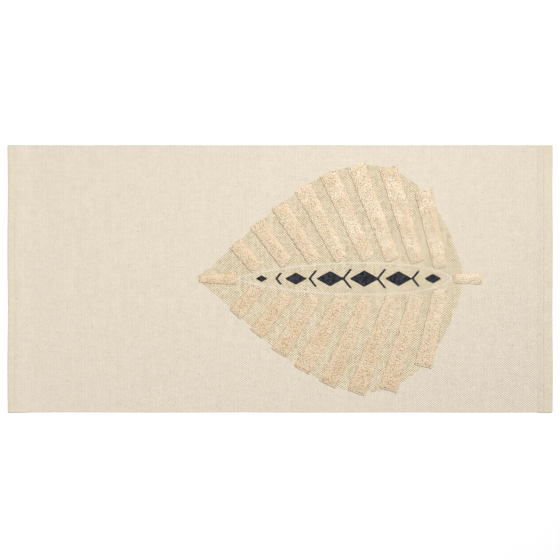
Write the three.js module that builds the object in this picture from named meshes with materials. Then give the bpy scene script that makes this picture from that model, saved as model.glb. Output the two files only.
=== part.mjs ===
// A cotton nursery rug, lying flat: a coarse woven ground cloth whose two short ends are folded under
// and stitched down, with low bars of cream pile tufted on it. The bars make a plain leaf: eight a side
// slant off a clear middle towards the tip, one fills the tip and one is the stalk.
// Millimetres. +X runs along the rug towards the stalk, +Y across it, +Z up.
// The origin is the middle of the underside.

import * as THREE from "three";

// The rug
const RUG_LENGTH = 1400;
const RUG_WIDTH = 686;
const CLOTH_THICKNESS = 2.6;

// The hems: each end is folded under once and pressed
const HEM_AT_TIP_END = 22.5;
const HEM_AT_STALK_END = 27.5;
const FOLD_GAP = 0.4; // between the two layers of a hem
const STEP_MARGIN = 1.5; // from the raw edge of a hem to where the upper layer starts to come down
const HEM_SLOPE = 14; // the length over which the cloth comes down to the floor
const SLOPE_STEPS = 4;
const FOLD_STEPS = 6; // faces round the outside of a fold

// How far the cloth's edges wander from straight, and over what length
const END_WANDER = 0.5;
const SIDE_WANDER = 0.6;
const END_WAVE = 310;
const SIDE_WAVE = 420;
const COLUMNS = 14; // faces along the flat middle
const ROWS = 12; // faces across the rug

// The leaf
const LEAF_TIP_X = -226;
const BLADE_BASE_X = 470;
const BLADE_HALF_WIDTH = 292;
const BLADE_TIP_POWER = 1.3; // above 1 draws the tip out to a point
const BLADE_BASE_POWER = 0.72; // below 1 rounds the base

// The clear middle between the two rows of bars
const MIDDLE_START_X = -112;
const MIDDLE_END_X = 438;
const MIDDLE_HALF_WIDTH = 41;
const MIDDLE_TIP_POWER = 0.8;
const MIDDLE_BASE_POWER = 0.55;

const HALVINGS = 40; // when looking for the blade's edge along a bar

// The pile bars
const PILE_HEIGHT = 7;
const PILE_SEAT_GAP = 0.3; // above the ground cloth
const BARS_A_SIDE = 8;
const FIRST_BAR_X = 413; // where the bar nearest the stalk starts
const FIRST_BAR_SLANT = 77; // degrees from the leaf's middle line
const SLANT_STEP = 4; // less for each bar towards the tip
const BAR_WIDTH = 36; // at its inner end
const BAR_GAP = 23; // between inner ends
const BAR_FLARE = 0.05; // width gained for each millimetre of length
const BAR_OVERHANG = 4; // past the leaf's edge
const BAR_START = 9; // from the clear middle's edge to the middle of a bar's inner end
const CORNER_ROUND = 5; // how far a bar's corners lie in from its end
const TIP_BAR = { from: -112, to: -208, width: 34, endWidth: 19 };
const STALK_BAR = { from: 444, to: 519, width: 26, endWidth: 32 };

// A bar's section, from one side wall to the other, and its ends: how far in from the edge each line
// of points lies, and what share of the pile's height it has
const RIM = [
  { inset: 0, rise: 0 },
  { inset: 0.7, rise: 0.72 },
  { inset: 3.4, rise: 0.96 },
];
const BAR_STEP = 17; // between lines of points along a bar
const LANES = 3; // faces across the flat of a bar
const LUMP = 0.32; // how far the pile's top rises and dips
const EDGE_LUMP = 0.9; // how far a bar's sides wander
const MIX = { bar: 12.9898, place: 78.233, spread: 43758.5453 }; // scrambles a bar and place into chance

const material = (name, color, roughness) =>
  new THREE.MeshStandardMaterial({ name, color, roughness, metalness: 0 });
const CANVAS = material("cotton canvas", 0xe6dac8, 0.95);
const PILE = material("cream cotton pile", 0xf2dfc2, 1.0);

// A half-width that grows from 0 at one end to the full width and shrinks to 0 at the other.
function bladeShape(share, tipPower, basePower) {
  if (share <= 0 || share >= 1) return 0;
  const widest = tipPower / (tipPower + basePower);
  return (share / widest) ** tipPower * ((1 - share) / (1 - widest)) ** basePower;
}

function bladeHalfWidth(x) {
  const share = (x - LEAF_TIP_X) / (BLADE_BASE_X - LEAF_TIP_X);
  return BLADE_HALF_WIDTH * bladeShape(share, BLADE_TIP_POWER, BLADE_BASE_POWER);
}

function middleHalfWidth(x) {
  const share = (x - MIDDLE_START_X) / (MIDDLE_END_X - MIDDLE_START_X);
  return MIDDLE_HALF_WIDTH * bladeShape(share, MIDDLE_TIP_POWER, MIDDLE_BASE_POWER);
}

// A repeatable number from -1 to 1 for each bar and place along it.
function uneven(bar, place) {
  const spread = Math.sin(bar * MIX.bar + place * MIX.place) * MIX.spread;
  return 2 * (spread - Math.floor(spread)) - 1;
}

// The upper layer of a hemmed end, from above the raw edge down to the floor: for each row, how far in
// from the rug's end it lies, and the heights of the cloth's two faces there.
function upperLayerRows(hem) {
  const top = 2 * CLOTH_THICKNESS + FOLD_GAP;
  const drop = CLOTH_THICKNESS + FOLD_GAP;
  const rows = [{ in: hem + STEP_MARGIN, high: top, low: drop }];
  for (let step = 1; step <= SLOPE_STEPS; step++) {
    const share = step / SLOPE_STEPS;
    const fall = drop * (share * share * (3 - 2 * share));
    rows.push({
      in: hem + STEP_MARGIN + HEM_SLOPE * share,
      high: top - fall,
      low: drop - fall,
    });
  }
  return rows;
}

// The cloth's section along the rug: over the top from one raw edge to the other, then back underneath.
function clothSection() {
  const end = RUG_LENGTH / 2;
  const foldRadius = CLOTH_THICKNESS + FOLD_GAP / 2;
  const foldX = end - foldRadius;
  const tipRows = upperLayerRows(HEM_AT_TIP_END);
  const stalkRows = upperLayerRows(HEM_AT_STALK_END);
  const flatStart = -end + tipRows.at(-1).in;
  const flatEnd = end - stalkRows.at(-1).in;
  const column = (k) => flatStart + ((flatEnd - flatStart) * k) / COLUMNS;
  const section = new THREE.Shape();

  section.moveTo(-end + HEM_AT_TIP_END, 0);
  section.lineTo(-foldX, 0);
  section.absarc(-foldX, foldRadius, foldRadius, -Math.PI / 2, Math.PI / 2, true);
  tipRows.forEach((row) => section.lineTo(-end + row.in, row.high));
  for (let k = 1; k < COLUMNS; k++) section.lineTo(column(k), CLOTH_THICKNESS);
  [...stalkRows].reverse().forEach((row) => section.lineTo(end - row.in, row.high));
  section.lineTo(foldX, 2 * foldRadius);
  section.absarc(foldX, foldRadius, foldRadius, Math.PI / 2, -Math.PI / 2, true);
  section.lineTo(end - HEM_AT_STALK_END, 0);

  section.lineTo(end - HEM_AT_STALK_END, CLOTH_THICKNESS);
  section.lineTo(foldX, CLOTH_THICKNESS);
  section.lineTo(foldX + FOLD_GAP / 2, foldRadius);
  section.lineTo(foldX, CLOTH_THICKNESS + FOLD_GAP);
  stalkRows.forEach((row) => section.lineTo(end - row.in, row.low));
  for (let k = COLUMNS - 1; k > 0; k--) section.lineTo(column(k), 0);
  [...tipRows].reverse().forEach((row) => section.lineTo(-end + row.in, row.low));
  section.lineTo(-foldX, CLOTH_THICKNESS + FOLD_GAP);
  section.lineTo(-foldX - FOLD_GAP / 2, foldRadius);
  section.lineTo(-foldX, CLOTH_THICKNESS);
  section.lineTo(-end + HEM_AT_TIP_END, CLOTH_THICKNESS);
  section.closePath();
  return section;
}

function groundCloth() {
  const geometry = new THREE.ExtrudeGeometry(clothSection(), {
    depth: RUG_WIDTH,
    steps: ROWS,
    curveSegments: FOLD_STEPS,
    bevelEnabled: false,
  });
  // The section was drawn in X and Y, so it is stood up: its Y becomes the height.
  geometry.rotateX(Math.PI / 2);
  geometry.translate(0, RUG_WIDTH / 2, 0);
  const point = geometry.attributes.position;
  for (let k = 0; k < point.count; k++) {
    const x = point.getX(k);
    const y = point.getY(k);
    const endPull = END_WANDER * Math.sin((2 * Math.PI * y) / END_WAVE) * ((2 * x) / RUG_LENGTH);
    const sidePull = SIDE_WANDER * Math.sin((2 * Math.PI * x) / SIDE_WAVE) * ((2 * y) / RUG_WIDTH);
    point.setXY(k, x + endPull, y + sidePull);
  }
  const cloth = new THREE.Mesh(geometry, CANVAS);
  cloth.name = "ground_cloth";
  return cloth;
}

// Distances along or across a bar: close together at the rims, as RIM says, and even between them.
function spacing(length, step) {
  const rims = RIM.map((line) => line.inset);
  const inner = rims.at(-1);
  const count = Math.max(1, Math.round((length - 2 * inner) / step));
  const between = [];
  for (let k = 1; k < count; k++) between.push(inner + ((length - 2 * inner) * k) / count);
  return [...rims, ...between, ...rims.map((inset) => length - inset).reverse()];
}

// The share of the pile's height at a line of points, counted from the nearer rim.
function rise(line, last) {
  const fromRim = Math.min(line, last - line);
  return fromRim < RIM.length ? RIM[fromRim].rise : 1;
}

// One tufted bar from start to end, as a closed lumpy slab. number makes each bar uneven in its own way.
function pileBar(name, number, start, end, width, endWidth) {
  const along = new THREE.Vector2().subVectors(end, start);
  const length = along.length();
  along.normalize();
  const across = new THREE.Vector2(-along.y, along.x);
  const stations = spacing(length, BAR_STEP);
  const lanes = spacing(width, width / LANES).map((inset) => (2 * inset) / width - 1);
  const lastStation = stations.length - 1;
  const lastLane = lanes.length - 1;
  const seat = CLOTH_THICKNESS + PILE_SEAT_GAP;
  const corners = [];
  stations.forEach((distance, i) => {
    const share = distance / length;
    const half = (width + (endWidth - width) * share) / 2;
    const sideways = EDGE_LUMP * uneven(number, Math.round(distance / BAR_STEP));
    lanes.forEach((lane, j) => {
      const fromEnd = Math.min(distance, length - distance) / BAR_STEP;
      const roundIn = CORNER_ROUND * lane ** 4 * Math.max(0, 1 - fromEnd);
      const place = distance + (share < 0.5 ? roundIn : -roundIn);
      const offset = lane * half + sideways;
      const height = PILE_HEIGHT * Math.min(rise(i, lastStation), rise(j, lastLane));
      const lump = height > 0 ? LUMP * uneven(number + j, i) : 0;
      corners.push(
        new THREE.Vector3(
          start.x + along.x * place + across.x * offset,
          start.y + along.y * place + across.y * offset,
          seat + height + lump,
        ),
      );
    });
  });

  const at = (i, j) => i * lanes.length + j;
  const faces = [];
  for (let i = 0; i < lastStation; i++) {
    for (let j = 0; j < lastLane; j++) {
      faces.push(at(i, j), at(i + 1, j), at(i + 1, j + 1));
      faces.push(at(i, j), at(i + 1, j + 1), at(i, j + 1));
    }
  }
  // The flat underside: a strip across at each step along, and a fan into each rounded end
  for (let i = 0; i < lastStation; i++) {
    faces.push(at(i, 0), at(i, lastLane), at(i + 1, lastLane));
    faces.push(at(i, 0), at(i + 1, lastLane), at(i + 1, 0));
  }
  for (let j = 1; j < lastLane; j++) {
    faces.push(at(0, 0), at(0, j), at(0, j + 1));
    faces.push(at(lastStation, 0), at(lastStation, j + 1), at(lastStation, j));
  }

  const geometry = new THREE.BufferGeometry().setFromPoints(corners);
  geometry.setIndex(faces);
  geometry.computeVertexNormals();
  const bar = new THREE.Mesh(geometry, PILE);
  bar.name = name;
  return bar;
}

// How far a bar runs from its start before it has passed the leaf's edge by the overhang, by halving.
function reachOfBar(start, direction) {
  let inside = 0;
  let outside = 2 * BLADE_HALF_WIDTH;
  for (let step = 0; step < HALVINGS; step++) {
    const middle = (inside + outside) / 2;
    const x = start.x + direction.x * middle;
    const y = Math.abs(start.y + direction.y * middle);
    if (y < bladeHalfWidth(x)) inside = middle;
    else outside = middle;
  }
  return inside + BAR_OVERHANG;
}

function slantingBars() {
  const bars = [];
  let x = FIRST_BAR_X;
  for (let n = 0; n < BARS_A_SIDE; n++) {
    const slant = THREE.MathUtils.degToRad(FIRST_BAR_SLANT - SLANT_STEP * n);
    for (const side of [1, -1]) {
      const number = 2 * n + (side > 0 ? 1 : 2);
      const direction = new THREE.Vector2(-Math.cos(slant), side * Math.sin(slant));
      const start = new THREE.Vector2(x, side * (middleHalfWidth(x) + BAR_START));
      const length = reachOfBar(start, direction);
      const end = start.clone().addScaledVector(direction, length);
      const name = `pile_${side > 0 ? "left" : "right"}_${n + 1}`;
      bars.push(pileBar(name, number, start, end, BAR_WIDTH, BAR_WIDTH + BAR_FLARE * length));
    }
    const nextSlant = THREE.MathUtils.degToRad(FIRST_BAR_SLANT - SLANT_STEP * (n + 0.5));
    x -= (BAR_WIDTH + BAR_GAP) / Math.sin(nextSlant);
  }
  return bars;
}

function middleBar(name, number, { from, to, width, endWidth }) {
  const start = new THREE.Vector2(from, 0);
  const end = new THREE.Vector2(to, 0);
  return pileBar(name, number, start, end, width, endWidth);
}

const rug = new THREE.Group();
rug.name = "cotton_nursery_rug";
rug.add(groundCloth());
rug.add(...slantingBars());
rug.add(middleBar("pile_tip", 2 * BARS_A_SIDE + 1, TIP_BAR));
rug.add(middleBar("pile_stalk", 2 * BARS_A_SIDE + 2, STALK_BAR));

export default rug;
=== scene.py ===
"""Looks of a cotton nursery rug, seen from straight above on a white floor.

The ground is one sheet of coarse natural cotton canvas with both short ends folded under and stitched.
A sage leaf with a row of navy lozenges and chevrons is printed on it, and each low bar of cream pile is
its own patch of curly yarn loops. Metres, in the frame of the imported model: +X along the rug, +Y across
it, +Z up.
"""

import math

import bpy
import numpy as np

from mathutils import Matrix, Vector


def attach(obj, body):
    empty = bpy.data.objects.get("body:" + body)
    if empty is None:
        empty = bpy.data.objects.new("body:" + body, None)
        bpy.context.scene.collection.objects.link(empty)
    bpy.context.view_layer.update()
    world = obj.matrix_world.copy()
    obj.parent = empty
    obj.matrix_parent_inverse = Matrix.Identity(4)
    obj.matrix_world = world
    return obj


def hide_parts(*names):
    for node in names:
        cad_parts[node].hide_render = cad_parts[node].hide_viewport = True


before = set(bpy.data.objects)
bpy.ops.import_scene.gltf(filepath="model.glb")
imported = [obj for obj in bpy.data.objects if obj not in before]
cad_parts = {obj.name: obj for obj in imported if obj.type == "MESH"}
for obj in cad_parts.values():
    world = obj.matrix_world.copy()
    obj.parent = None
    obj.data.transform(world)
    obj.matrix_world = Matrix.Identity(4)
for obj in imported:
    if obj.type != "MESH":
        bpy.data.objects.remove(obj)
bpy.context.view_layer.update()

MM = 0.001
DICE = np.random.default_rng(20)

# The rug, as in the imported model, but for straighter long sides and a longer slope at the tip end
RUG_LENGTH = 1400 * MM
RUG_WIDTH = 686 * MM
CLOTH_THICKNESS = 2.6 * MM
FOLD_GAP = 0.4 * MM
HEM_TOP = 2 * CLOTH_THICKNESS + FOLD_GAP
HEM_AT_TIP_END = 22.5 * MM
HEM_AT_STALK_END = 27.5 * MM
STEP_MARGIN = 1.5 * MM  # from a hem's raw edge to where the upper layer starts to come down
HEM_SLOPE_AT_TIP_END = 42 * MM  # the length over which it comes down to the floor
HEM_SLOPE_AT_STALK_END = 14 * MM
END_WANDER = 0.5 * MM
SIDE_WANDER = 0.2 * MM
END_WAVE = 310 * MM
SIDE_WAVE = 420 * MM

# The weave: threads across the rug (counted along it) and along the rug (counted across it)
CROSS_THREADS = 392
LONG_THREADS = 234
CROSS_PITCH = RUG_LENGTH / CROSS_THREADS
LONG_PITCH = RUG_WIDTH / LONG_THREADS
LOWER_ROWS = 5  # the cloth's lower face is plain and needs only few points across
CROSSING_RELIEF = 0.2 * MM  # how far the thread on top rises above and dips below the cloth's face
CROSSING_UNEVENNESS = 0.04 * MM
LEAST_SHOWING = 0.08  # how plainly the weave's painted shade and print show along the upper side, of 1
SHOWING_AT_TIP_END = 0.33  # how much more plainly they show at the lower side, at the tip end
SHOWING_TOWARDS_STALK = 1.22  # and how much more at the stalk end
SHOWING_POWER = 0.9  # the power at which that grows across the rug
SHOWING_VARIATION = 0.6  # from crossing to crossing, of how plainly it shows there
WANDER_WAVES = (37 * MM, 61 * MM, 98 * MM)  # the threads wander from a straight line in waves this long
WANDER_DEPTH = 0.45 * MM  # and this deep each
WANDER_FROM_HEM = 60 * MM  # they wander in full from this far past a hem
WANDER_FROM_SIDE = 40 * MM  # and from this far in from a long side
STREAK_RUN = 50 * MM  # a thread is lighter or darker over about this length
THREAD_DIFFERENCE = 0.35  # of one thread from the next, where a streak's depth is 1
SLUB_LENGTH = 9 * MM
SLUB_CHANCE = 0.03  # of a thick place in each length of thread
SLUB_TONE = (-4, -1.5)  # how much darker a thick place is, where a streak's depth is 1

# The sewing: from each end of the rug to its row of lockstitch
SEAM_AT_TIP_END = 18.5 * MM
SEAM_AT_STALK_END = 23.5 * MM
STITCH_LENGTH = 5 * MM
STITCH_THREAD = 0.9 * MM
STITCH_GAP = 0.08  # of a stitch's length, bare at each of its ends
STITCH_RISE = 0.35 * MM  # how far a stitch arches above its two ends
STITCH_SINK = 0.25 * MM  # how deep its ends lie in the cloth
STITCH_SLANT = 0.25 * MM
STITCH_UNEVENNESS = 0.15 * MM
STITCH_TAPER = 0.3  # how much thinner its thread is at both ends, where it is pulled tight
SEAM_END_GAP = 4 * MM  # from each long side to the seam's first and last stitch
SEAM_DEPTH_AT_TIP_END = 0.25 * MM  # how far the seam draws the cloth down
SEAM_DEPTH_AT_STALK_END = 0.5 * MM

# The long sides: the cloth's own woven edges
SELVEDGE_INSET = 0.4 * MM
SELVEDGE_RISE = 0.35 * MM  # the two long sides are a little thicker than the rest
SELVEDGE_LOOP = 0.6 * MM  # the cross threads turn back this far past the last long thread

# The leaf's outline and its clear middle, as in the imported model
LEAF_TIP_X = -226 * MM
BLADE_BASE_X = 470 * MM
BLADE_HALF_WIDTH = 292 * MM
BLADE_TIP_POWER = 1.3
BLADE_BASE_POWER = 0.72
MIDDLE_START_X = -112 * MM
MIDDLE_END_X = 438 * MM
MIDDLE_HALF_WIDTH = 41 * MM
MIDDLE_TIP_POWER = 0.8
MIDDLE_BASE_POWER = 0.55

# The print
BARE_LINE = 4 * MM  # the unprinted line round the clear middle
LOZENGES = 6
LOZENGE_START_X = 392 * MM
LOZENGE_PITCH = 88 * MM
LOZENGE_LENGTH_SHARE = 0.95  # half a lozenge's length, as a share of the clear middle's half-width there
LOZENGE_WIDTH_SHARE = 0.52
CHEVRON_LINE = 5.6 * MM
CHEVRON_REACH = 0.62  # of the clear middle's half-width
CHEVRON_SLOPE = 0.8
FAR_OUTSIDE = -50.0  # millimetres inside the navy print, where there is none

# The pile
RIM_HEIGHT = 0.05 * MM  # a bar's solid is measured up to this height
RIM_FIT = 1.06  # its rounded corners make its average half-width this much smaller
TUFT_SPACING = 4.0 * MM
TUFT_SCATTER = 0.2  # of the spacing
YARN_RADIUS = 1.9 * MM
LOOP_THICKNESS = (0.8, 1.2)  # of the yarn's radius, from loop to loop
YARN_THICKNESS = (0.85, 1.15)  # and along each loop
TUFT_HEIGHT = (6.9 * MM, 7.7 * MM)
TUFT_SPREAD = (1.8 * MM, 3.0 * MM)  # half the distance between a loop's two feet
TUFT_FOOT = 1.2 * MM  # the height of a loop's feet
ROOT_SHARE = 0.75  # of a loop's height, over which painted shade turns its colour to the root's shade colour
PALE_SPREAD = (3.0, 0.8)  # the shape of the spread of the loops' tones: most pale, a few warm
TUFT_CURL = 0.9 * MM
TUFT_LEAN = 0.8 * MM
ARCH_POWER = 0.7  # below 1 makes a loop's top broad
BORDER_INSET = 2.2 * MM  # from a bar's outline to the row of loops that follows it
BORDER_SPACING = 3.4 * MM
BORDER_SCATTER = 0.3 * MM
END_GAP = 0.7  # of the spacing, from that row to the loops inside it, at a bar's ends
SIDE_GAP = 0.45  # and at its sides
BORDER_FREEDOM = 0.15  # how freely the loops of that row curl and lean, where the others' freedom is 1
BORDER_TURN = 0.1  # radians by which they turn from the outline's direction
BORDER_WANDER = 0.9 * MM  # the outline wanders this far in and out, as hand tufting does
BORDER_WAVE = 38 * MM
BORDER_SHORT_WAVE = 0.41 * BORDER_WAVE
CORNER_CUT = 2.4 * MM
EDGE_HEIGHT = 0.28  # of the full height, at a bar's rim
EDGE_ROUND = 20 * MM  # the width over which a bar rounds up to its full height
LOWER_LEFT_SHADE = 0.5  # painted shade: how much less pale the loops' tone is made at the leaf's lower left
SHADE_AT_CENTRE = 0.75  # the share of that shift at the rug's centre
SHADE_RUN_X = 600 * MM  # the length along the rug over which the share falls by 1
SHADE_RUN_Y = 450 * MM
SLAB_SHARE = 0.5  # of the pile's height, filled with packed yarn
SLAB_INSET = 3.5 * MM
SLAB_TONE = 0.3  # its yarn, from warm at 0 to pale at 1, kept warm as painted shade
SLAB_ROOT_SHADE = 0.6  # and how much of the painted shade colour of the loops' roots it has

# The finishes
CANVAS_LIGHT = "#e4d9c9"  # natural cotton, neither bleached nor dyed
CANVAS_DARK = "#dacebc"
DOUBLED_CLOTH = "#fffffb"  # what the cloth's colour is multiplied by over the hems
THREAD_TONE = 0.8  # the usual tone of a thread, from dark at 0 to light at 1
STREAK_DEPTH = 0.13  # how far a streak shifts it
SPECK_DEPTH = 0.14  # and how far single crossings darken it
THREAD_EDGE = 0.15  # how gradually one thread gives way to the next
BETWEEN_CROSSINGS = 0.5  # a thread's height there, of its height on top of another
GAP_SHADE = 0.82  # painted shade: the light from between the threads, of the light from their tops
FUZZ_SHADE = (0.94, 1.05)  # how much darker and lighter single fibres make the yarn
FIBRE_SIZE = 0.9 * MM  # coarser than cotton fibres, which are too fine to show
FIBRE_RELIEF = 0.25  # how far fibres stand out, of the height of a thread
MOTTLE_SIZE = 24 * MM
MOTTLE_DEPTH = 0.035
HOLLOW_SHADE = 0.2  # painted shade: how much darker a long thread is made where the weave shows fully
PRINT_RAGGEDNESS = 2.0  # the width, in millimetres, of the band in which the print's edge wanders
PRINT_SOFTNESS = 0.4  # half the width, in millimetres, over which the print fades out
PRINT_CONTRAST = 1.2  # how plainly the print shows the weave even where the weave shows least
FULL_SHOWING_CONTRAST = 0.55  # and how much more where the weave shows fully
THREAD_THIRST = 1.35  # how much more of the print a dark thread takes than a light one
SAGE_ON_TOP = "#fdfbef"  # the print's colours are stains, which multiply the cotton's own
SAGE_IN_HOLLOW = "#e4dec7"
NAVY_THIN = "#424963"  # navy ink where it lies thin, and where thick
NAVY_THICK = "#272b3c"
NAVY_PATCHES = 8.0  # how plainly the navy shows where its ink lies thin or thick
NAVY_PATCH_SIZE = 6 * MM
SEED_FLECK = "#8a7355"
FLECK_CELL = 26 * MM  # the size of the cells that may each have a fleck at a point of their own
FLECK_FREE = 0.65  # the share of cells without one
FLECK_LARGEST = 0.055  # the largest fleck's radius, of the size of a cell
FLECK_STRENGTH = 0.5
PILE_PALE = "#efe2cd"  # the pile's yarn, from pale to warm, and the painted shade down between the loops
PILE_WARM = "#d5bc97"
PILE_PEACH = "#e2d0b4"
PILE_ROOT_SHADE = "#dac3a2"
BATCH_SIZE = 34 * MM  # the yarn is peachier in patches of about this size
PILE_FIBRE_SIZE = 0.8 * MM
THREAD_LIGHT = "#e8dcc8"
THREAD_DARK = "#cfc0a6"
TWIST_SIZE = 0.6 * MM

# The photograph's framing
PHOTO_PIXELS = 560
RUG_PIXELS = 544.8
RUG_CENTRE_PIXEL = (280.3, 278.65)
LENS = 90
SENSOR = 36


def linear(hex_colour):
    """An sRGB hex colour as linear red, green, blue and alpha."""
    values = [int(hex_colour[k : k + 2], 16) / 255 for k in (1, 3, 5)]
    return [v / 12.92 if v <= 0.04045 else ((v + 0.055) / 1.055) ** 2.4 for v in values] + [1.0]


def add(tree, kind, sockets=(), **settings):
    """Adds a node with its settings, and gives its sockets values or links from other nodes' outputs."""
    made = tree.nodes.new(kind)
    for name, value in settings.items():
        setattr(made, name, value)
    for socket, value in dict(sockets).items():
        if isinstance(value, bpy.types.NodeSocket):
            tree.links.new(value, made.inputs[socket])
        else:
            made.inputs[socket].default_value = value
    return made


def empty_material(name):
    """A material with an empty node tree."""
    made = bpy.data.materials.new(name)
    made.use_nodes = True
    made.node_tree.nodes.clear()
    return made, made.node_tree


def weave(tree):
    """Plain weave, from the threads counted at each place: the yarn's height, 0 between threads and 1 on
    top of one, and where a soft long thread shows, 1, or a hard cross thread, 0."""
    cross_count = add(tree, "ShaderNodeAttribute", attribute_name="cross_count").outputs["Fac"]
    long_count = add(tree, "ShaderNodeAttribute", attribute_name="long_count").outputs["Fac"]
    across = add(tree, "ShaderNodeMath", {0: cross_count, 1: math.pi}, operation="MULTIPLY").outputs[0]
    along = add(tree, "ShaderNodeMath", {0: long_count, 1: math.pi}, operation="MULTIPLY").outputs[0]
    wave_x = add(tree, "ShaderNodeMath", {0: across}, operation="SINE").outputs[0]
    wave_y = add(tree, "ShaderNodeMath", {0: along}, operation="SINE").outputs[0]
    both = add(tree, "ShaderNodeMath", {0: wave_x, 1: wave_y}, operation="MULTIPLY").outputs[0]
    hollow = add(
        tree,
        "ShaderNodeMapRange",
        {"Value": both, "From Min": -THREAD_EDGE, "From Max": THREAD_EDGE},
        interpolation_type="SMOOTHSTEP",
    ).outputs[0]
    cross_on_top = add(tree, "ShaderNodeMath", {0: both, 1: 0.0}, operation="LESS_THAN").outputs[0]
    crown_x = add(tree, "ShaderNodeMath", {0: wave_x}, operation="ABSOLUTE").outputs[0]
    crown_y = add(tree, "ShaderNodeMath", {0: wave_y}, operation="ABSOLUTE").outputs[0]
    threads = []
    for crown, other_crown in ((crown_y, crown_x), (crown_x, crown_y)):
        dive = add(
            tree,
            "ShaderNodeMath",
            {0: other_crown, 1: 1 - BETWEEN_CROSSINGS, 2: BETWEEN_CROSSINGS},
            operation="MULTIPLY_ADD",
        ).outputs[0]
        threads.append(add(tree, "ShaderNodeMath", {0: crown, 1: dive}, operation="MULTIPLY").outputs[0])
    height = add(
        tree,
        "ShaderNodeMix",
        {0: cross_on_top, 2: threads[0], 3: threads[1]},
        data_type="FLOAT",
    )
    return height.outputs[0], hollow


def canvas_material(name, printed):
    """Natural cotton canvas in plain weave: matt, creamy, uneven yarn with seed flecks, and stained where
    it is printed."""
    made, tree = empty_material(name)
    coordinates = add(tree, "ShaderNodeTexCoord").outputs["Object"]
    height, hollow = weave(tree)
    showing = add(tree, "ShaderNodeAttribute", attribute_name="weave_showing").outputs["Fac"]

    # Yarn tone: each thread is a little lighter or darker along its length
    tone = add(tree, "ShaderNodeAttribute", attribute_name="thread_tone").outputs["Fac"]
    cotton = add(
        tree,
        "ShaderNodeMix",
        {0: tone, 6: linear(CANVAS_DARK), 7: linear(CANVAS_LIGHT)},
        data_type="RGBA",
    ).outputs[2]
    fibre = add(
        tree,
        "ShaderNodeTexNoise",
        {"Vector": coordinates, "Scale": 1 / FIBRE_SIZE, "Detail": 3.0, "Roughness": 0.65},
    ).outputs["Fac"]

    # Where the cloth is doubled, no light comes up through it from the white floor, so it looks yellower
    doubled = add(tree, "ShaderNodeAttribute", attribute_name="doubled").outputs["Fac"]
    colour = add(
        tree,
        "ShaderNodeMix",
        {0: doubled, 6: cotton, 7: linear(DOUBLED_CLOTH)},
        data_type="RGBA",
        blend_type="MULTIPLY",
    ).outputs[2]
    if printed:
        colour = printed_colour(tree, colour, tone, hollow, showing, fibre)

    # Painted shade: darker between the threads, and on long threads where the weave shows plainly
    shade = add(
        tree,
        "ShaderNodeMapRange",
        {"Value": height, "From Min": 0.0, "From Max": 0.75, "To Min": GAP_SHADE, "To Max": 1.0},
        interpolation_type="SMOOTHSTEP",
    ).outputs[0]
    fuzz = add(
        tree,
        "ShaderNodeMapRange",
        {
            "Value": fibre,
            "From Min": 0.25,
            "From Max": 0.75,
            "To Min": FUZZ_SHADE[0],
            "To Max": FUZZ_SHADE[1],
        },
    ).outputs[0]
    shade = add(tree, "ShaderNodeMath", {0: shade, 1: fuzz}, operation="MULTIPLY").outputs[0]
    mottle = add(
        tree,
        "ShaderNodeTexNoise",
        {"Vector": coordinates, "Scale": 1 / MOTTLE_SIZE, "Detail": 4.0, "Roughness": 0.85},
    ).outputs["Fac"]
    mottle = add(
        tree,
        "ShaderNodeMapRange",
        {
            "Value": mottle,
            "From Min": 0.3,
            "From Max": 0.7,
            "To Min": 1 - MOTTLE_DEPTH,
            "To Max": 1 + MOTTLE_DEPTH,
        },
    ).outputs[0]
    shade = add(tree, "ShaderNodeMath", {0: shade, 1: mottle}, operation="MULTIPLY").outputs[0]
    painted_hollow_shade = contrast(tree, hollow, showing)
    painted_hollow_shade = add(
        tree,
        "ShaderNodeMath",
        {0: painted_hollow_shade, 1: -HOLLOW_SHADE, 2: 1 + HOLLOW_SHADE / 2},
        operation="MULTIPLY_ADD",
    ).outputs[0]
    shade = add(tree, "ShaderNodeMath", {0: shade, 1: painted_hollow_shade}, operation="MULTIPLY").outputs[0]
    colour = add(
        tree,
        "ShaderNodeVectorMath",
        {0: colour, "Scale": shade},
        operation="SCALE",
    ).outputs[0]

    # Brown flecks of cotton seed, about one in each 5 cm square
    cells = add(
        tree,
        "ShaderNodeTexVoronoi",
        {"Vector": coordinates, "Scale": 1 / FLECK_CELL, "Randomness": 1.0},
        feature="F1",
        voronoi_dimensions="2D",
    )
    chance = add(tree, "ShaderNodeSeparateColor", {0: cells.outputs["Color"]})
    size = add(
        tree,
        "ShaderNodeMapRange",
        {
            "Value": chance.outputs[0],
            "From Min": FLECK_FREE,
            "From Max": 1.0,
            "To Min": 0.0,
            "To Max": FLECK_LARGEST,
        },
    ).outputs[0]
    distance = cells.outputs["Distance"]
    fleck = add(tree, "ShaderNodeMath", {0: distance, 1: size}, operation="LESS_THAN").outputs[0]
    fleck = add(tree, "ShaderNodeMath", {0: fleck, 1: FLECK_STRENGTH}, operation="MULTIPLY").outputs[0]
    colour = add(
        tree,
        "ShaderNodeMix",
        {0: fleck, 6: colour, 7: linear(SEED_FLECK)},
        data_type="RGBA",
    ).outputs[2]

    relief = add(
        tree,
        "ShaderNodeMath",
        {0: fibre, 1: FIBRE_RELIEF, 2: height},
        operation="MULTIPLY_ADD",
    ).outputs[0]
    bump = add(tree, "ShaderNodeBump", {"Strength": 0.35, "Distance": 0.7 * MM, "Height": relief})
    cloth = add(
        tree,
        "ShaderNodeBsdfPrincipled",
        {
            "Base Color": colour,
            "Roughness": 0.92,
            "Specular IOR Level": 0.2,
            "Sheen Weight": 0.12,
            "Sheen Roughness": 0.6,
            "Normal": bump.outputs[0],
        },
    )
    add(tree, "ShaderNodeOutputMaterial", {"Surface": cloth.outputs[0]})
    return made


def contrast(tree, pattern, strength):
    """A pattern of 0 and 1 drawn towards its average, or past its own values by a strength over 1."""
    drawn = add(
        tree,
        "ShaderNodeMix",
        {0: strength, 2: 0.5, 3: pattern},
        data_type="FLOAT",
        clamp_factor=False,
    )
    return drawn.outputs[0]


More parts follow.
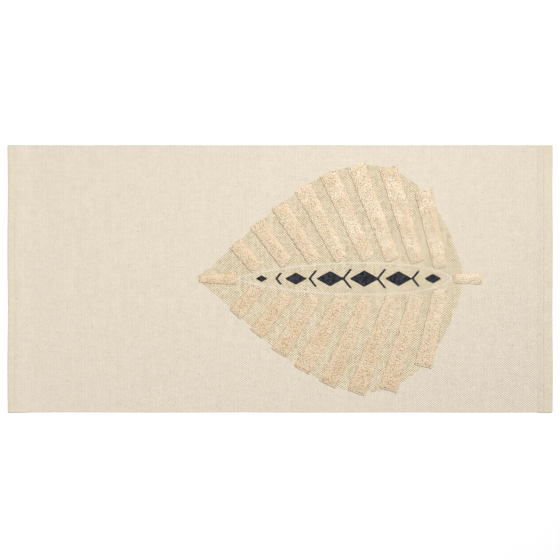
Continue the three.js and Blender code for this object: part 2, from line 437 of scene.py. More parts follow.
def printed_colour(tree, cotton, tone, hollow, showing, fibre):
    """Print that stains the canvas: sage soaks into the soft long threads in the hollows and only tints
    the hard cross threads above them, and darker threads take more of it. Navy covers both, in patches of
    thin and thick ink."""
    colour = cotton
    plainness = add(
        tree,
        "ShaderNodeMath",
        {0: showing, 1: FULL_SHOWING_CONTRAST, 2: PRINT_CONTRAST},
        operation="MULTIPLY_ADD",
    ).outputs[0]
    soaked = contrast(tree, hollow, plainness)
    soaked = add(
        tree,
        "ShaderNodeMath",
        {0: tone, 1: -THREAD_THIRST, 2: soaked},
        operation="MULTIPLY_ADD",
    ).outputs[0]
    soaked = add(tree, "ShaderNodeMath", {0: soaked, 1: THREAD_THIRST / 2}, operation="ADD").outputs[0]
    coordinates = add(tree, "ShaderNodeTexCoord").outputs["Object"]
    patches = add(
        tree,
        "ShaderNodeTexNoise",
        {"Vector": coordinates, "Scale": 1 / NAVY_PATCH_SIZE, "Detail": 3.0, "Roughness": 0.75},
    ).outputs["Fac"]
    patches = contrast(tree, patches, NAVY_PATCHES)
    for attribute, pale, deep, taken in (
        ("sage_inside", SAGE_ON_TOP, SAGE_IN_HOLLOW, soaked),
        ("navy_inside", NAVY_THIN, NAVY_THICK, patches),
    ):
        inside = add(tree, "ShaderNodeAttribute", attribute_name=attribute).outputs["Fac"]
        ragged = add(
            tree,
            "ShaderNodeMath",
            {0: fibre, 1: PRINT_RAGGEDNESS, 2: inside},
            operation="MULTIPLY_ADD",
        ).outputs[0]
        edge = add(
            tree,
            "ShaderNodeMapRange",
            {
                "Value": ragged,
                "From Min": PRINT_RAGGEDNESS / 2 - PRINT_SOFTNESS,
                "From Max": PRINT_RAGGEDNESS / 2 + PRINT_SOFTNESS,
                "To Min": 0.0,
                "To Max": 1.0,
            },
            interpolation_type="SMOOTHSTEP",
        ).outputs[0]
        stain = add(
            tree,
            "ShaderNodeMix",
            {0: taken, 6: linear(pale), 7: linear(deep)},
            data_type="RGBA",
            clamp_factor=False,
        ).outputs[2]
        colour = add(
            tree,
            "ShaderNodeMix",
            {0: edge, 6: colour, 7: stain},
            data_type="RGBA",
            blend_type="MULTIPLY",
        ).outputs[2]
    return colour


def pile_material():
    """Soft cotton yarn, undyed: matt and fuzzy, cream on top, with painted shade that turns it peachy
    brown down between the loops.
    """
    made, tree = empty_material("cream cotton pile")
    coordinates = add(tree, "ShaderNodeTexCoord").outputs["Object"]
    tone = add(tree, "ShaderNodeAttribute", attribute_name="tuft_tone").outputs["Fac"]
    depth = add(tree, "ShaderNodeAttribute", attribute_name="root_shade").outputs["Fac"]
    light = add(
        tree,
        "ShaderNodeMix",
        {0: tone, 6: linear(PILE_WARM), 7: linear(PILE_PALE)},
        data_type="RGBA",
    ).outputs[2]
    batch = add(
        tree,
        "ShaderNodeTexNoise",
        {"Vector": coordinates, "Scale": 1 / BATCH_SIZE, "Detail": 1.0},
    ).outputs["Fac"]
    batch = add(
        tree,
        "ShaderNodeMapRange",
        {"Value": batch, "From Min": 0.38, "From Max": 0.62},
        interpolation_type="SMOOTHSTEP",
    ).outputs[0]
    light = add(
        tree,
        "ShaderNodeMix",
        {0: batch, 6: light, 7: linear(PILE_PEACH)},
        data_type="RGBA",
    ).outputs[2]
    # Painted shade: down towards the cloth the yarn's colour turns to the root's shade colour
    colour = add(
        tree,
        "ShaderNodeMix",
        {0: depth, 6: light, 7: linear(PILE_ROOT_SHADE)},
        data_type="RGBA",
    ).outputs[2]
    fibre = add(
        tree,
        "ShaderNodeTexNoise",
        {"Vector": coordinates, "Scale": 1 / PILE_FIBRE_SIZE, "Detail": 3.0, "Roughness": 0.7},
    ).outputs["Fac"]
    bump = add(tree, "ShaderNodeBump", {"Strength": 0.5, "Distance": 0.4 * MM, "Height": fibre})
    yarn = add(
        tree,
        "ShaderNodeBsdfPrincipled",
        {
            "Base Color": colour,
            "Roughness": 0.95,
            "Specular IOR Level": 0.15,
            "Sheen Weight": 0.25,
            "Sheen Roughness": 0.5,
            "Normal": bump.outputs[0],
        },
    )
    add(tree, "ShaderNodeOutputMaterial", {"Surface": yarn.outputs[0]})
    return made


def thread_material():
    """Spun sewing cotton, off-white and matt."""
    made, tree = empty_material("off-white sewing thread")
    coordinates = add(tree, "ShaderNodeTexCoord").outputs["Object"]
    twist = add(
        tree,
        "ShaderNodeTexNoise",
        {"Vector": coordinates, "Scale": 1 / TWIST_SIZE, "Detail": 2.0},
    ).outputs["Fac"]
    colour = add(
        tree,
        "ShaderNodeMix",
        {0: twist, 6: linear(THREAD_DARK), 7: linear(THREAD_LIGHT)},
        data_type="RGBA",
    ).outputs[2]
    bump = add(tree, "ShaderNodeBump", {"Strength": 0.4, "Distance": 0.2 * MM, "Height": twist})
    thread = add(
        tree,
        "ShaderNodeBsdfPrincipled",
        {"Base Color": colour, "Roughness": 0.8, "Specular IOR Level": 0.3, "Normal": bump.outputs[0]},
    )
    add(tree, "ShaderNodeOutputMaterial", {"Surface": thread.outputs[0]})
    return made


def floor_material():
    """White studio floor, bright enough to stay white in the rug's thin shadow."""
    made, tree = empty_material("white studio floor")
    floor = add(
        tree,
        "ShaderNodeBsdfPrincipled",
        {
            "Base Color": linear("#f4f4f4"),
            "Roughness": 0.9,
            "Specular IOR Level": 0.1,
            "Emission Color": linear("#ffffff"),
            "Emission Strength": 0.12,
        },
    )
    add(tree, "ShaderNodeOutputMaterial", {"Surface": floor.outputs[0]})
    return made


def new_piece(name, points, triangles, materials, smooth):
    """A mesh object from arrays of points and triangles."""
    mesh = bpy.data.meshes.new(name)
    mesh.from_pydata(points, [], triangles)
    for made in materials:
        mesh.materials.append(made)
    mesh.polygons.foreach_set("use_smooth", np.full(len(mesh.polygons), smooth))
    mesh.update()
    piece = bpy.data.objects.new(name, mesh)
    bpy.context.scene.collection.objects.link(piece)
    return piece


def set_values(piece, name, values):
    """Stores one number for each point of a piece, for its material to read."""
    store = piece.data.attributes.new(name, "FLOAT", "POINT")
    store.data.foreach_set("value", np.asarray(values, dtype=np.float32))


def ease(share):
    """A smooth step from 0 to 1."""
    share = np.clip(share, 0, 1)
    return share * share * (3 - 2 * share)


def blade_shape(share, tip_power, base_power):
    """A half-width that grows from 0 at one end to 1 and shrinks to 0 at the other."""
    share = np.clip(share, 1e-6, 1 - 1e-6)
    widest = tip_power / (tip_power + base_power)
    return (share / widest) ** tip_power * ((1 - share) / (1 - widest)) ** base_power


def blade_half_width(x):
    """Half the width of the leaf's blade at a place along the rug."""
    share = (x - LEAF_TIP_X) / (BLADE_BASE_X - LEAF_TIP_X)
    return BLADE_HALF_WIDTH * blade_shape(share, BLADE_TIP_POWER, BLADE_BASE_POWER)


def middle_half_width(x):
    """Half the width of the leaf's clear middle at a place along the rug."""
    share = (x - MIDDLE_START_X) / (MIDDLE_END_X - MIDDLE_START_X)
    return MIDDLE_HALF_WIDTH * blade_shape(share, MIDDLE_TIP_POWER, MIDDLE_BASE_POWER)


def distance_inside(half_width, x, y):
    """How far inside the outline abs(y) = half_width(x) each point lies, in millimetres."""
    step = 1 * MM
    slope = (half_width(x + step) - half_width(x - step)) / (2 * step)
    return (half_width(x) - np.abs(y)) / np.sqrt(1 + slope**2) / MM


def sage_inside(x, y):
    """The sage print: the leaf's blade but for a bare line round its clear middle."""
    blade = distance_inside(blade_half_width, x, y)
    middle = distance_inside(middle_half_width, x, y)
    off_line = np.abs(middle) - BARE_LINE / 2 / MM
    return np.minimum(blade, off_line)


def navy_inside(x, y):
    """The navy print: a row of lozenges with a chevron between each two."""
    inside = np.full(x.shape, FAR_OUTSIDE)
    for k in range(LOZENGES):
        centre = LOZENGE_START_X - k * LOZENGE_PITCH
        room = float(middle_half_width(np.array(centre)))
        half_length = LOZENGE_LENGTH_SHARE * room
        half_width = LOZENGE_WIDTH_SHARE * room
        reach = 1 - np.abs(x - centre) / half_length - np.abs(y) / half_width
        lozenge = reach / math.hypot(1 / half_length, 1 / half_width) / MM
        inside = np.maximum(inside, lozenge)
        if k == LOZENGES - 1:
            continue
        bend = centre - LOZENGE_PITCH / 2
        room = float(middle_half_width(np.array(bend)))
        line = np.abs(x - bend - CHEVRON_SLOPE * (np.abs(y) - CHEVRON_REACH * room / 2))
        line = (CHEVRON_LINE / 2 - line / math.hypot(1, CHEVRON_SLOPE)) / MM
        chevron = np.minimum(line, (CHEVRON_REACH * room - np.abs(y)) / MM)
        inside = np.maximum(inside, chevron)
    return inside


def hem_lift(inward, hem, slope):
    """How far the cloth is raised at a distance in from the rug's end: full over the hem, then down."""
    drop = CLOTH_THICKNESS + FOLD_GAP
    return drop * (1 - ease((inward - hem - STEP_MARGIN) / slope))


def canvas_section():
    """The cloth's two faces along its length, from one raw edge to the other: x and height of each."""
    end = RUG_LENGTH / 2
    radius = CLOTH_THICKNESS + FOLD_GAP / 2
    fold_x = end - radius
    outer, inner, woven = [], [], []

    def under_hem(side, hem):
        return [side * (end - share * hem - (1 - share) * radius) for share in (1.0, 0.66, 0.33)]

    for x in under_hem(-1, HEM_AT_TIP_END):
        outer.append((x, 0.0))
        inner.append((x, CLOTH_THICKNESS))
        woven.append(0)
    for angle in np.radians([270, 225, 180, 135, 90]):
        outer.append((-fold_x + radius * math.cos(angle), radius + radius * math.sin(angle)))
        inner.append((-fold_x + FOLD_GAP / 2 * math.cos(angle), radius + FOLD_GAP / 2 * math.sin(angle)))
        woven.append(0)
    for k in range(CROSS_THREADS):
        x = -end + (k + 0.5) * CROSS_PITCH
        if abs(x) >= fold_x:
            continue
        if x < 0:
            lift = float(hem_lift(end + x, HEM_AT_TIP_END, HEM_SLOPE_AT_TIP_END))
        else:
            lift = float(hem_lift(end - x, HEM_AT_STALK_END, HEM_SLOPE_AT_STALK_END))
        outer.append((x, CLOTH_THICKNESS + lift))
        inner.append((x, lift))
        woven.append(1 if k % 2 else -1)
    for angle in np.radians([90, 45, 0, -45, -90]):
        outer.append((fold_x + radius * math.cos(angle), radius + radius * math.sin(angle)))
        inner.append((fold_x + FOLD_GAP / 2 * math.cos(angle), radius + FOLD_GAP / 2 * math.sin(angle)))
        woven.append(0)
    for x in reversed(under_hem(1, HEM_AT_STALK_END)):
        outer.append((x, 0.0))
        inner.append((x, CLOTH_THICKNESS))
        woven.append(0)
    return np.array(outer), np.array(inner), np.array(woven)


def zip_rows(fine, coarse):
    """Triangles between a row of many points and a row of few, both in the same direction. The rows may
    share their first and last points."""
    faces = []
    i = j = 0
    while i < len(fine) - 1 or j < len(coarse) - 1:
        next_fine = (i + 1) / (len(fine) - 1) if i < len(fine) - 1 else 2
        next_coarse = (j + 1) / (len(coarse) - 1) if j < len(coarse) - 1 else 2
        if next_fine <= next_coarse:
            faces.append((fine[i], fine[i + 1], coarse[j]))
            i += 1
        else:
            faces.append((fine[i], coarse[j + 1], coarse[j]))
            j += 1
    return [face for face in faces if len(set(face)) == 3]


def grid_triangles(index, parity=None):
    """Two triangles for each cell of a grid of point numbers, cut from high corner to high corner."""
    a, b, c, d = index[:-1, :-1], index[1:, :-1], index[1:, 1:], index[:-1, 1:]
    straight = np.stack([np.stack([a, b, c], -1), np.stack([a, c, d], -1)], 2)
    turned = np.stack([np.stack([a, b, d], -1), np.stack([b, c, d], -1)], 2)
    if parity is None:
        return straight.reshape(-1, 3)
    choose = parity[:-1, :-1, None, None] > 0
    return np.where(choose, straight, turned).reshape(-1, 3)


def thread_streaks(count, length):
    """An uneven tone along each of many threads: a slow wander, and now and then a thick, darker place."""
    slow = DICE.normal(0, 1, (count, int(length / STREAK_RUN) + 2))
    slow = slow + DICE.normal(0, THREAD_DIFFERENCE, (count, 1))
    thick = DICE.uniform(*SLUB_TONE, (count, int(length / SLUB_LENGTH) + 2))
    return slow, thick * (DICE.random(thick.shape) < SLUB_CHANCE)


def sample_streaks(streaks, share):
    """The tone of each thread at each share of its length, one row a thread."""
    total = 0
    for knots in streaks:
        place = np.asarray(share) * (knots.shape[1] - 1)
        low = np.clip(place.astype(int), 0, knots.shape[1] - 2)
        part = ease(place - low)
        total = total + knots[:, low] * (1 - part) + knots[:, low + 1] * part
    return total


def weave_showing(share_x, share_y):
    """How plainly the weave shows, in its painted hollow shade and its print: least along the upper side,
    and most in the stalk end's lower corner.
    """
    lower_side = SHOWING_AT_TIP_END + SHOWING_TOWARDS_STALK * share_x
    return LEAST_SHOWING + np.clip(1 - share_y, 0, 1) ** SHOWING_POWER * lower_side


def thread_wander(x, y):
    """How far each crossing lies from an even grid, in x and y: none at the edges and hems."""
    from_end = RUG_LENGTH / 2 - np.abs(x)
    from_side = RUG_WIDTH / 2 - np.abs(y)
    free = ease((from_end - 2 * HEM_AT_STALK_END) / WANDER_FROM_HEM) * ease(from_side / WANDER_FROM_SIDE)
    shift = np.zeros((2, len(x)))
    for wave in WANDER_WAVES:
        for k in range(2):
            heading = DICE.uniform(0, np.pi)
            phase = DICE.uniform(0, 2 * np.pi)
            along = x * np.cos(heading) + y * np.sin(heading)
            shift[k] += WANDER_DEPTH * np.sin(2 * np.pi * along / wave + phase)
    return shift * free


def build_canvas():
    """The ground cloth: one sheet with a thread crossing at each point of its upper face."""
    outer, inner, woven = canvas_section()
    columns = len(outer)
    half = RUG_WIDTH / 2
    rows = -half + (np.arange(LONG_THREADS) + 0.5) * LONG_PITCH
    rows = np.concatenate([[-half + SELVEDGE_INSET], rows, [half - SELVEDGE_INSET]])
    few = rows[np.linspace(0, len(rows) - 1, LOWER_ROWS).astype(int)]

    x = np.repeat(outer[:, :1], len(rows), 1)
    z = np.repeat(outer[:, 1:], len(rows), 1)
    y = np.repeat(rows[None, :], columns, 0)
    row_sign = np.where(np.arange(len(rows)) % 2, -1, 1)
    parity = woven[:, None] * row_sign[None, :]
    relief = CROSSING_RELIEF * parity
    relief[:, [1, -2]] += SELVEDGE_RISE * (woven[:, None] != 0)
    relief[:, [0, -1]] = SELVEDGE_RISE * (woven[:, None] != 0)
    rise = DICE.normal(0, CROSSING_UNEVENNESS, relief.shape) * (woven[:, None] != 0)
    for seam, depth in (
        (-RUG_LENGTH / 2 + SEAM_AT_TIP_END, SEAM_DEPTH_AT_TIP_END),
        (RUG_LENGTH / 2 - SEAM_AT_STALK_END, SEAM_DEPTH_AT_STALK_END),
    ):
        off_folds = RUG_LENGTH * (woven == 0)
        near = np.argmin(np.abs(outer[:, 0] - seam) + off_folds)
        x[near] = seam
        relief[near] = -depth
    z = z + relief + rise

    upper = np.arange(columns * len(rows)).reshape(columns, len(rows))
    points = [np.stack([x, y, z], -1).reshape(-1, 3)]
    start = upper.size
    lower = start + np.arange(columns * len(few)).reshape(columns, len(few))
    lower_points = np.stack(
        [
            np.repeat(inner[:, :1], len(few), 1),
            np.repeat(few[None, :], columns, 0),
            np.repeat(inner[:, 1:], len(few), 1),
        ],
        -1,
    ).reshape(-1, 3)
    points.append(lower_points)
    start += lower.size
    middle = (outer + inner) / 2
    edges = {}
    for side in (-1, 1):
        edges[side] = start + np.arange(columns)
        edge_y = np.full(columns, side * (half + SELVEDGE_LOOP))
        points.append(np.stack([middle[:, 0], edge_y, middle[:, 1]], -1))
        start += columns
    points = np.concatenate(points)
    share_x = points[:, 0] / RUG_LENGTH + 0.5
    share_y = points[:, 1] / RUG_WIDTH + 0.5

    pull_x = END_WANDER * np.sin(2 * np.pi * points[:, 1] / END_WAVE) * 2 * points[:, 0] / RUG_LENGTH
    pull_y = SIDE_WANDER * np.sin(2 * np.pi * points[:, 0] / SIDE_WAVE) * 2 * points[:, 1] / RUG_WIDTH
    wander_x, wander_y = thread_wander(points[:, 0], points[:, 1])
    points[:, 0] += pull_x + wander_x
    points[:, 1] += pull_y + wander_y

    top = grid_triangles(upper, parity)
    bottom = grid_triangles(lower)[:, ::-1]
    walls = [
        grid_triangles(np.stack([edges[-1], upper[:, 0]], 1)),
        grid_triangles(np.stack([lower[:, 0], edges[-1]], 1)),
        grid_triangles(np.stack([upper[:, -1], edges[1]], 1)),
        grid_triangles(np.stack([edges[1], lower[:, -1]], 1)),
    ]
    raw_start = [edges[-1][0], *lower[0], edges[1][0]]
    raw_end = [edges[-1][-1], *lower[-1], edges[1][-1]]
    walls.append(np.array(zip_rows([edges[-1][0], *upper[0], edges[1][0]], raw_start)))
    walls.append(np.array(zip_rows([edges[-1][-1], *upper[-1], edges[1][-1]], raw_end))[:, ::-1])
    triangles = np.concatenate([top, bottom, *walls])

    plain = canvas_material("natural cotton canvas", printed=False)
    printed = canvas_material("natural cotton canvas, printed", printed=True)
    piece = new_piece("canvas_sheet", points, triangles, [printed, plain], smooth=False)
    slots = np.ones(len(triangles), dtype=np.int32)
    slots[: len(top)] = 0
    piece.data.polygons.foreach_set("material_index", slots)

    set_values(piece, "cross_count", share_x * CROSS_THREADS)
    set_values(piece, "long_count", share_y * LONG_THREADS)
    cross = sample_streaks(thread_streaks(CROSS_THREADS, RUG_WIDTH), np.linspace(0, 1, LONG_THREADS))
    long = sample_streaks(thread_streaks(LONG_THREADS, RUG_LENGTH), np.linspace(0, 1, CROSS_THREADS))
    i = np.clip((share_x * CROSS_THREADS).astype(int), 0, CROSS_THREADS - 1)
    j = np.clip((share_y * LONG_THREADS).astype(int), 0, LONG_THREADS - 1)
    cross_on_top = (i + j) % 2 == 0
    tone = np.where(cross_on_top, cross[i, j], long[j, i])
    tone = THREAD_TONE + STREAK_DEPTH * tone - DICE.gamma(2, SPECK_DEPTH, len(points))
    set_values(piece, "thread_tone", np.clip(tone, 0, 1))
    showing = weave_showing(share_x, share_y) * (1 + DICE.normal(0, SHOWING_VARIATION, len(points)))
    set_values(piece, "weave_showing", np.clip(showing, 0, 2))
    from_end = RUG_LENGTH / 2 - np.abs(points[:, 0])
    hem = np.where(points[:, 0] < 0, HEM_AT_TIP_END, HEM_AT_STALK_END)
    set_values(piece, "doubled", from_end < hem)
    set_values(piece, "sage_inside", sage_inside(points[:, 0], points[:, 1]))
    set_values(piece, "navy_inside", navy_inside(points[:, 0], points[:, 1]))
    return piece


def bar_footprint(node):
    """A bar's start, direction, length and end widths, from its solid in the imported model."""
    corners = np.array([v.co[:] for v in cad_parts[node].data.vertices])
    floor = corners[:, 2].min()
    rim = np.unique(np.round(corners[corners[:, 2] < floor + RIM_HEIGHT][:, :2], 6), axis=0)
    centre = (rim.max(0) + rim.min(0)) / 2
    _, _, axes = np.linalg.svd(rim - rim.mean(0))
    direction = axes[0]
    along = (rim - centre) @ direction
    across = (rim - centre) @ np.array([-direction[1], direction[0]])
    start, end = along.min(), along.max()
    slope, width = np.polyfit(along, np.abs(across - np.median(across)), 1)
    return {
        "centre": centre,
        "direction": direction,
        "start": start,
        "end": end,
        "middle": (across.max() + across.min()) / 2,
        "half_width": width * RIM_FIT,
        "flare": slope,
        "floor": floor,
    }


def tuft_places(bar):
    """Where the yarn comes up through the cloth: a row along each side and end of the bar, and an uneven
    grid inside them. Gives the places, their distance from the outline, and which are on an end row."""
    step = BORDER_SPACING
    cut = BORDER_INSET + CORNER_CUT
    phase = DICE.uniform(0, 2 * np.pi, (2, 2))

    def half_width(u, side):
        """Half the bar's width at places along it, towards one side or the other, with its wander."""
        wave = np.sin(2 * np.pi * u / BORDER_WAVE + phase[side, 0])
        short_wave = np.sin(2 * np.pi * u / BORDER_SHORT_WAVE + phase[side, 1])
        return bar["half_width"] + bar["flare"] * u + BORDER_WANDER * (0.7 * wave + 0.5 * short_wave)

    along = np.arange(bar["start"] + cut, bar["end"] - cut + step / 2, step)
    rows = []
    for side in (0, 1):
        v = (2 * side - 1) * (half_width(along, side) - BORDER_INSET)
        rows.append(np.stack([along, v], 1))
    ends = []
    for u in (bar["start"] + BORDER_INSET, bar["end"] - BORDER_INSET):
        reach = bar["half_width"] + bar["flare"] * u - cut
        v = np.linspace(-reach, reach, max(3, int(2 * reach / step) + 1))
        ends.append(np.stack([np.full(len(v), u), v], 1))
    border = np.concatenate(rows + ends)
    border = border + DICE.normal(0, BORDER_SCATTER, border.shape)
    at_end = np.repeat([False, True], [sum(map(len, rows)), sum(map(len, ends))])

    row_step = TUFT_SPACING * math.sqrt(3) / 2
    grid = []
    first = BORDER_INSET + END_GAP * TUFT_SPACING
    length = bar["end"] - bar["start"] - 2 * first
    inner = bar["start"] + first + np.linspace(0, length, round(length / TUFT_SPACING) + 1)
    half_most = bar["half_width"] + abs(bar["flare"]) * max(abs(bar["start"]), abs(bar["end"]))
    for n, v in enumerate(np.arange(-half_most, half_most, row_step)):
        u = inner + (n % 2) * TUFT_SPACING / 2
        grid.append(np.stack([u, np.full(len(u), v)], 1))
    grid = np.concatenate(grid)
    grid = grid + DICE.normal(0, TUFT_SCATTER * TUFT_SPACING, grid.shape)
    side = (grid[:, 1] > 0).astype(int)
    room = half_width(grid[:, 0], side) - np.abs(grid[:, 1])
    room = np.minimum(room, np.minimum(grid[:, 0] - bar["start"], bar["end"] - grid[:, 0]))
    inside = room > BORDER_INSET + SIDE_GAP * TUFT_SPACING

    places = np.concatenate([border, grid[inside]])
    room = np.concatenate([np.full(len(border), BORDER_INSET), room[inside]])
    at_end = np.concatenate([at_end, np.zeros(inside.sum(), dtype=bool)])
    return places, room, at_end


def painted_shade_share(x, y):
    """How much painted shade, as a warmer and darker tone, a place's loops get: none at the leaf's upper
    right, and most at its lower left.
    """
    return ease(SHADE_AT_CENTRE - x / SHADE_RUN_X - y / SHADE_RUN_Y)


def build_tufts(name, node):
    """One bar of pile: loops of curly yarn standing on a packed layer of it."""
    bar = bar_footprint(node)
    places, room, at_end = tuft_places(bar)
    direction = bar["direction"]
    sideways = np.array([-direction[1], direction[0]])
    count = len(places)
    roots = bar["centre"] + places[:, :1] * direction + (places[:, 1:] + bar["middle"]) * sideways

    segments, sides = 5, 5
    share = np.linspace(0, 1, segments + 1)
    turn = DICE.uniform(0, np.pi, count)
    on_border = room <= BORDER_INSET
    free = np.where(on_border, BORDER_FREEDOM, 1.0)
    outline = np.arctan2(direction[1], direction[0]) + np.where(at_end, np.pi / 2, 0)
    turn = np.where(on_border, outline + DICE.normal(0, BORDER_TURN, count), turn)
    dome = EDGE_HEIGHT + (1 - EDGE_HEIGHT) * (1 - (1 - np.clip(room / EDGE_ROUND, 0, 1)) ** 2)
    height = DICE.uniform(*TUFT_HEIGHT, count) * dome
    spread = DICE.uniform(*TUFT_SPREAD, count)
    curl = DICE.normal(0, TUFT_CURL, count) * free
    lean = DICE.normal(0, TUFT_LEAN, (count, 2)) * free[:, None]
    radius = YARN_RADIUS * DICE.uniform(*LOOP_THICKNESS, count)

    heading = np.stack([np.cos(turn), np.sin(turn), np.zeros(count)], 1)
    beside = np.stack([-np.sin(turn), np.cos(turn), np.zeros(count)], 1)
    arch = -np.cos(np.pi * share)
    rise = np.sin(np.pi * share) ** ARCH_POWER
    path = np.zeros((count, segments + 1, 3))
    path[:, :, :2] = roots[:, None, :]
    path[:, :, 2] = bar["floor"] + TUFT_FOOT
    path += heading[:, None, :] * (spread[:, None] * arch)[:, :, None]
    path += beside[:, None, :] * (curl[:, None] * np.sin(2 * np.pi * share))[:, :, None]
    path[:, :, :2] += lean[:, None, :] * rise[None, :, None]
    top = height - TUFT_FOOT - radius
    path[:, :, 2] += top[:, None] * rise

    tangent = np.gradient(path, axis=1)
    tangent /= np.linalg.norm(tangent, axis=2, keepdims=True)
    flat = np.repeat(beside[:, None, :], segments + 1, 1)
    normal = np.cross(flat, tangent)
    normal /= np.linalg.norm(normal, axis=2, keepdims=True)
    flat = np.cross(tangent, normal)
    angles = 2 * np.pi * np.arange(sides) / sides
    thick = radius[:, None] * DICE.uniform(*YARN_THICKNESS, (count, segments + 1))
    ring = (
        flat[:, :, None, :] * np.cos(angles)[None, None, :, None]
        + normal[:, :, None, :] * np.sin(angles)[None, None, :, None]
    )
    points = (path[:, :, None, :] + thick[:, :, None, None] * ring).reshape(-1, 3)

    lane = np.arange(sides)
    after = (lane + 1) % sides
    one = []
    for s in range(segments):
        low, high = s * sides, (s + 1) * sides
        one += [(low + a, low + b, high + b) for a, b in zip(lane, after)]
        one += [(low + a, high + b, high + a) for a, b in zip(lane, after)]
    last = segments * sides
    one += [(0, k + 1, k) for k in range(1, sides - 1)]
    one += [(last, last + k, last + k + 1) for k in range(1, sides - 1)]
    one = np.array(one)
    per_tuft = (segments + 1) * sides
    triangles = (one[None, :, :] + per_tuft * np.arange(count)[:, None, None]).reshape(-1, 3)

    # Painted shade: loops towards the leaf's lower left get a warmer, darker tone
    tone = DICE.beta(*PALE_SPREAD, count) - LOWER_LEFT_SHADE * painted_shade_share(*roots.T[:2])
    tone = np.repeat(np.clip(tone, 0, 1), per_tuft)
    # Painted shade: each loop's colour turns to the root's shade colour down its lower part
    deep = 1 - ease((points[:, 2] - bar["floor"]) / np.repeat(ROOT_SHARE * height, per_tuft))

    slab_points, slab_triangles = packed_layer(node, bar)
    triangles = np.concatenate([triangles, slab_triangles + len(points)])
    points = np.concatenate([points, slab_points])
    # Painted shade: the packed layer, seen only down between the loops, gets a warm tone and much of the
    # root's shade colour
    tone = np.concatenate([tone, np.full(len(slab_points), SLAB_TONE)])
    deep = np.concatenate([deep, np.full(len(slab_points), SLAB_ROOT_SHADE)])

    piece = new_piece(name, points, triangles, [PILE], smooth=True)
    set_values(piece, "tuft_tone", tone)
    set_values(piece, "root_shade", deep)
    return piece


def packed_layer(node, bar):
    """The yarn packed between the loops' feet: the bar's own solid, drawn in all round and lower."""
    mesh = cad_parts[node].data
    corners = np.array([v.co[:] for v in mesh.vertices])
    mesh.calc_loop_triangles()
    faces = np.array([t.vertices[:] for t in mesh.loop_triangles])
    joined, index = np.unique(np.round(corners, 7), axis=0, return_inverse=True)
    faces = index.reshape(-1)[faces]
    a, b, c = faces.T
    faces = faces[(a != b) & (b != c) & (c != a)]
    joined[:, 2] = bar["floor"] + (joined[:, 2] - bar["floor"]) * SLAB_SHARE
    direction = bar["direction"]
    sideways = np.array([-direction[1], direction[0]])
    along = (joined[:, :2] - bar["centre"]) @ direction
    across = (joined[:, :2] - bar["centre"]) @ sideways - bar["middle"]
    along *= 1 - 2 * SLAB_INSET / (bar["end"] - bar["start"])
    across *= 1 - SLAB_INSET / bar["half_width"]
    across += bar["middle"]
    joined[:, :2] = bar["centre"] + along[:, None] * direction + across[:, None] * sideways
    return joined, faces


def build_seam(name, x, height):
    """A row of lockstitch: short lengths of thread that dip into the cloth at both ends."""
    sides, rings = 6, 5
    count = int((RUG_WIDTH - 2 * SEAM_END_GAP) / STITCH_LENGTH)
    first = -count * STITCH_LENGTH / 2
    share = np.linspace(0, 1, rings)
    angles = 2 * np.pi * np.arange(sides) / sides
    points, triangles = [], []
    one = []
    for s in range(rings - 1):
        for k in range(sides):
            a, b = s * sides + k, s * sides + (k + 1) % sides
            one += [(a, b, b + sides), (a, b + sides, a + sides)]
    last = (rings - 1) * sides
    one += [(0, k + 1, k) for k in range(1, sides - 1)]
    one += [(last, last + k, last + k + 1) for k in range(1, sides - 1)]
    one = np.array(one)
    for n in range(count):
        y = first + (n + STITCH_GAP + (1 - 2 * STITCH_GAP) * share) * STITCH_LENGTH
        wander = END_WANDER * np.sin(2 * np.pi * y / END_WAVE) * 2 * x / RUG_LENGTH
        shift = DICE.normal(0, STITCH_UNEVENNESS)
        z = height + STITCH_RISE * np.sin(np.pi * share) ** 0.6 - STITCH_SINK
        radius = STITCH_THREAD / 2 * (1 - STITCH_TAPER + STITCH_TAPER * np.sin(np.pi * share))
        slant = STITCH_SLANT * (share - 0.5)
        for k in range(rings):
            ring_x = x + wander[k] + shift + slant[k] + radius[k] * np.cos(angles)
            ring_z = z[k] + radius[k] * np.sin(angles)
            points.append(np.stack([ring_x, np.full(sides, y[k]), ring_z], 1))
        triangles.append(one + n * rings * sides)
    return new_piece(name, np.concatenate(points), np.concatenate(triangles), [THREAD], smooth=True)


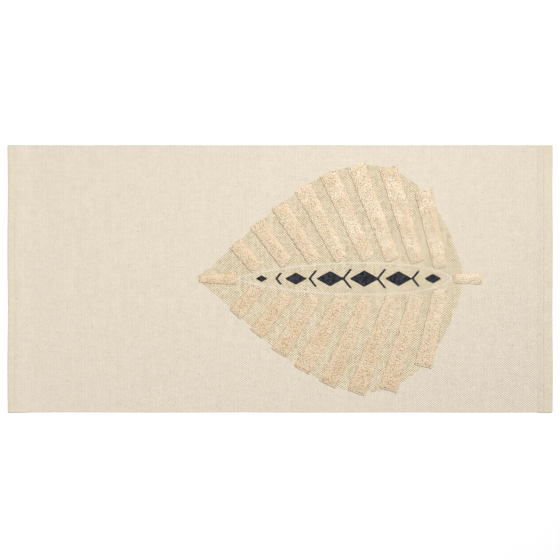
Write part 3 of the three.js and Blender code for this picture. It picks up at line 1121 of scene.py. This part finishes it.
def add_camera():
    """Looks straight down, with the rug at its place in the photograph."""
    frame_width = RUG_LENGTH * PHOTO_PIXELS / RUG_PIXELS
    metres_a_pixel = RUG_LENGTH / RUG_PIXELS
    data = bpy.data.cameras.new("overhead camera")
    data.lens = LENS
    data.sensor_width = SENSOR
    camera = bpy.data.objects.new("overhead camera", data)
    half = PHOTO_PIXELS / 2
    camera.location = (
        (half - RUG_CENTRE_PIXEL[0]) * metres_a_pixel,
        (RUG_CENTRE_PIXEL[1] - half) * metres_a_pixel,
        frame_width * LENS / SENSOR + CLOTH_THICKNESS,
    )
    bpy.context.scene.collection.objects.link(camera)
    bpy.context.scene.camera = camera


def add_light(name, kind, position, target, energy, **settings):
    """A lamp at a position that points at a target."""
    data = bpy.data.lights.new(name, kind)
    data.energy = energy
    for setting, value in settings.items():
        setattr(data, setting, value)
    lamp = bpy.data.objects.new(name, data)
    lamp.location = position
    lamp.rotation_euler = (Vector(target) - Vector(position)).to_track_quat("-Z", "Y").to_euler()
    bpy.context.scene.collection.objects.link(lamp)


def add_studio():
    """A white floor, a soft key from the upper right, a broad soft light overhead and white all round."""
    size = 6.0
    corners = [(-size, -size, 0), (size, -size, 0), (size, size, 0), (-size, size, 0)]
    floor = new_piece("floor", corners, [(0, 1, 2), (0, 2, 3)], [floor_material()], smooth=False)
    add_light("key", "SUN", (1.0, 1.0, 2.0), (0, 0, 0), 1.5, angle=math.radians(14))
    add_light("softbox_left", "AREA", (-1.2, 0.0, 2.0), (-1.2, 0, 0), 11.9, shape="DISK", size=0.7)
    add_light("softbox_right", "AREA", (0.4, 0.4, 1.4), (0.4, 0.4, 0), 7.3, shape="DISK", size=0.5)
    world = bpy.data.worlds.new("studio")
    world.use_nodes = True
    world.node_tree.nodes["Background"].inputs["Color"].default_value = (1, 1, 1, 1)
    world.node_tree.nodes["Background"].inputs["Strength"].default_value = 0.355
    bpy.context.scene.world = world
    bpy.context.scene.view_settings.view_transform = "Standard"


add_camera()
add_studio()

PILE = pile_material()
THREAD = thread_material()

canvas = build_canvas()
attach(canvas, "root")
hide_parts("ground_cloth")

for node in sorted(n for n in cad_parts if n.startswith("pile_")):
    tufts = build_tufts(node.replace("pile_", "tufts_"), node)
    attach(tufts, "root")
    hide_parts(node)

for name, x in (
    ("seam_tip_end", -RUG_LENGTH / 2 + SEAM_AT_TIP_END),
    ("seam_stalk_end", RUG_LENGTH / 2 - SEAM_AT_STALK_END),
):
    seam = build_seam(name, x, HEM_TOP)
    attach(seam, "root")
